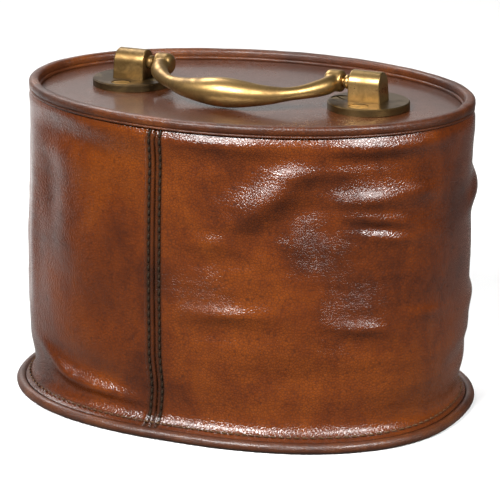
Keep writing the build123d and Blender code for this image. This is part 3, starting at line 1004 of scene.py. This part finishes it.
def make_sand():
    """Dry river sand: mixed grains."""
    material, tree, shader = finish_named("sand")
    grains = put(tree, "ShaderNodeTexVoronoi", feature="F1")
    tree.links.new(place_vector(tree), grains.inputs["Vector"])
    grains.inputs["Scale"].default_value = 1400
    tint = noise_value(tree, place_vector(tree), 700, 3)
    base = colour_mix(tree, spread(tree, tint, 0.35, 0.65), (0.26, 0.19, 0.11), (0.62, 0.50, 0.33))
    tree.links.new(base, shader.inputs["Base Color"])
    tree.links.new(spread(tree, tint, 0.3, 0.7, 0.95, 0.7), shader.inputs["Roughness"])
    bump(tree, shader, spread(tree, grains.outputs["Distance"], 0, 0.6, 1.0, 0.0), 0.3, 0.9)
    return material


plywood_finish = make_plywood()
sand_finish = make_sand()


def dress(piece, material):
    piece.data.materials.clear()
    piece.data.materials.append(material)


dress(wall, wall_finish)
dress(panel, panel_finish)
dress(rim, rim_finish)
dress(welt, foot_finish)
dress(foot_cover, foot_finish)
dress(handle, handle_brass)
dress(wadding, felt_finish)
dress(rim_core, cotton_finish)
dress(foot_core, cotton_finish)
dress(foot_board, plywood_finish)
dress(bpy.data.objects["seam_thread_left"], seam_thread_finish)
dress(bpy.data.objects["seam_thread_right"], seam_thread_finish)
dress(bpy.data.objects["foot_thread"], foot_thread_finish)

NODE_FINISHES = {
    "base_cover": foot_finish,
    "base_welt": foot_finish,
    "base_cord": cotton_finish,
    "base_board": plywood_finish,
    "side_cover": wall_finish,
    "seam_backing": canvas_finish,
    "side_wadding": felt_finish,
    "sand_bag": canvas_finish,
    "sand_fill": sand_finish,
    "top_packing": felt_finish,
    "top_board": plywood_finish,
    "top_felt": felt_finish,
    "top_cover": panel_finish,
    "rim_binding": rim_finish,
    "rim_cord": cotton_finish,
    "handle": antique_brass,
}
for side in ("left", "right"):
    NODE_FINISHES[f"rose_{side}"] = shaded_rose_brass
    NODE_FINISHES[f"post_{side}"] = antique_brass
    NODE_FINISHES[f"pivot_pin_{side}"] = antique_brass
    NODE_FINISHES[f"rose_screws_{side}"] = dark_brass
for node, finish in NODE_FINISHES.items():
    dress(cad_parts[node], finish)

# ---------------------------------------------------------------- floor, light and camera

deselect()
bpy.ops.mesh.primitive_circle_add(vertices=96, radius=1.6, fill_type="NGON", location=(0, 0, 0))
floor = named("floor")
floor_finish, tree, shader = finish_named("floor")
paper = noise_value(tree, place_vector(tree), 60, 4)
path = tree.nodes.new("ShaderNodeLightPath")
pale = colour_mix(tree, paper, (0.80, 0.80, 0.80), (0.84, 0.84, 0.84))
parts = tree.nodes.new("ShaderNodeSeparateXYZ")
tree.links.new(place_vector(tree), parts.inputs[0])
cloth_end = spread(tree, parts.outputs["Y"], -0.10, 0.10)
left_end = spread(tree, parts.outputs["X"], -0.25, 0.12, 1.0, 0.10)
cloth_end = maths(tree, "MULTIPLY", cloth_end, left_end)
unseen = colour_mix(tree, cloth_end, (0.04, 0.035, 0.03), (0.70, 0.70, 0.70))
tree.links.new(colour_mix(tree, path.outputs["Is Camera Ray"], unseen, pale), shader.inputs["Base Color"])
tree.links.new(spread(tree, paper, 0.3, 0.7, 0.95, 0.85), shader.inputs["Roughness"])
fade = tree.nodes.new("ShaderNodeVectorMath")
fade.operation = "LENGTH"
tree.links.new(place_vector(tree), fade.inputs[0])
clear = tree.nodes.new("ShaderNodeBsdfTransparent")
blend = tree.nodes.new("ShaderNodeMixShader")
tree.links.new(spread(tree, fade.outputs["Value"], 0.35, 1.4), blend.inputs[0])
tree.links.new(shader.outputs[0], blend.inputs[1])
tree.links.new(clear.outputs[0], blend.inputs[2])
tree.links.new(blend.outputs[0], tree.nodes["Material Output"].inputs["Surface"])
dress(floor, floor_finish)

world = bpy.data.worlds.new("studio")
bpy.context.scene.world = world
world.use_nodes = True
sky = world.node_tree
background = sky.nodes["Background"]
background.inputs["Color"].default_value = (1.0, 0.985, 0.97, 1)
direction = sky.nodes.new("ShaderNodeTexCoord")
parts = sky.nodes.new("ShaderNodeSeparateXYZ")
sky.links.new(direction.outputs["Generated"], parts.inputs[0])
behind = spread(sky, parts.outputs["Y"], -0.1, 0.7, 0.02, 0.85)
overhead = spread(sky, parts.outputs["Z"], 0.30, 0.75, 1.0, 0.12)
leftward = spread(sky, parts.outputs["X"], -0.50, 0.10, 1.0, 0.06)
behind = maths(sky, "MULTIPLY", maths(sky, "MULTIPLY", behind, overhead), leftward)
path = sky.nodes.new("ShaderNodeLightPath")
strength = maths(sky, "MAXIMUM", behind, path.outputs["Is Camera Ray"])
sky.links.new(strength, background.inputs["Strength"])

AIM = Vector((0.0007, 0.0, 0.0638))


def around(azimuth, elevation, distance):
    """A place round the object; azimuth 0 is the seam side and 90 the +X end."""
    turn, tilt = math.radians(azimuth), math.radians(elevation)
    flat = math.cos(tilt)
    return AIM + distance * Vector((math.sin(turn) * flat, -math.cos(turn) * flat, math.sin(tilt)))


def aim(thing, place):
    thing.location = place
    thing.rotation_euler = (AIM - place).to_track_quat("-Z", "Y").to_euler()


def softbox(name, azimuth, elevation, distance, width, height, watts):
    light = bpy.data.lights.new(name, "AREA")
    light.shape = "RECTANGLE"
    light.size = width
    light.size_y = height
    light.energy = watts
    thing = bpy.data.objects.new(name, light)
    bpy.context.scene.collection.objects.link(thing)
    aim(thing, around(azimuth, elevation, distance))
    return thing


softbox("front left softbox", -15, 40, 1.5, 0.75, 0.34, 46)
softbox("front right softbox", 57, 38, 1.5, 0.6, 0.30, 33)

softbox("back fill softbox", 236, 44, 1.7, 0.8, 0.6, 16)

lens = bpy.data.cameras.new("camera")
lens.sensor_width = 36
lens.lens = 187.3
lens.clip_start = 0.05
lens.clip_end = 50
camera = bpy.data.objects.new("camera", lens)
bpy.context.scene.collection.objects.link(camera)
aim(camera, around(23.9, 16.75, 1.137))
bpy.context.scene.camera = camera
bpy.context.scene.view_settings.view_transform = "Standard"

bpy.context.view_layer.update()
